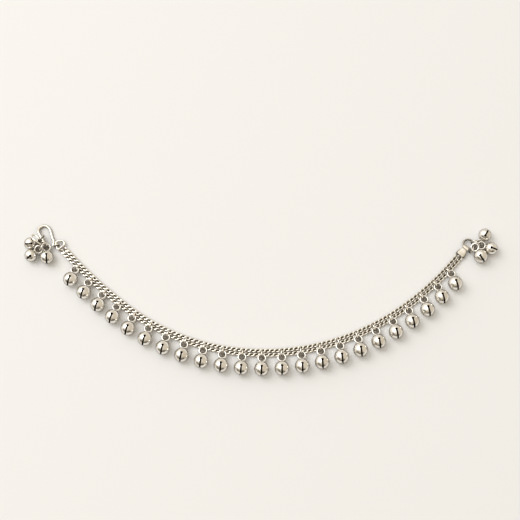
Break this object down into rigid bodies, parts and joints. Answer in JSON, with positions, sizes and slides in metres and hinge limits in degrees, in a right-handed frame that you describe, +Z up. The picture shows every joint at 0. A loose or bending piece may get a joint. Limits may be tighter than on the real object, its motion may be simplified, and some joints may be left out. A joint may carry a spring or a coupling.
{
  "type": "anklet",
  "caption": "Silver bell anklet laid open in its arc: double flat curb chain, round slotted bells on jump rings, wire hook and catch ring with bell clusters",
  "frame": {"origin": "on the surface the anklet lies on, under the middle of its bounding box", "axes": "+X along the open anklet from the hook's end to the catch ring's end, +Y towards the ankle opening, +Z up from the surface"},
  "size_m": [0.2406, 0.0784, 0.0072],
  "materials": {
    "chain_silver": "polished, tarnished in the recesses",
    "bell_silver": "polished",
    "wire_silver": "polished wire",
    "cap_silver": "polished"
  },
  "bodies": {
    "root": {"chain_inner_row": "chain_silver", "chain_outer_row": "chain_silver", "bell_01": "bell_silver", "bell_02": "bell_silver", "bell_03": "bell_silver", "bell_04": "bell_silver", "bell_05": "bell_silver", "bell_06": "bell_silver", "bell_07": "bell_silver", "bell_08": "bell_silver", "bell_09": "bell_silver", "bell_10": "bell_silver", "bell_11": "bell_silver", "bell_12": "bell_silver", "bell_13": "bell_silver", "bell_14": "bell_silver", "bell_15": "bell_silver", "bell_16": "bell_silver", "bell_17": "bell_silver", "bell_18": "bell_silver", "bell_19": "bell_silver", "bell_20": "bell_silver", "bell_21": "bell_silver", "bell_22": "bell_silver", "bell_23": "bell_silver", "end_bell_a": "bell_silver", "end_bell_b": "bell_silver", "end_bell_c": "bell_silver", "end_bell_d": "bell_silver", "end_bell_e": "bell_silver", "end_bell_f": "bell_silver", "bell_rings_1": "wire_silver", "bell_rings_2": "wire_silver", "bell_rings_3": "wire_silver", "bell_rings_4": "wire_silver", "end_ring_a": "wire_silver", "end_ring_b": "wire_silver", "end_ring_c": "wire_silver", "end_ring_d": "wire_silver", "end_ring_e": "wire_silver", "end_ring_f": "wire_silver", "link_ring": "wire_silver", "hook": "wire_silver", "catch_ring": "wire_silver", "end_cap": "cap_silver"}
  },
  "joints": []
}
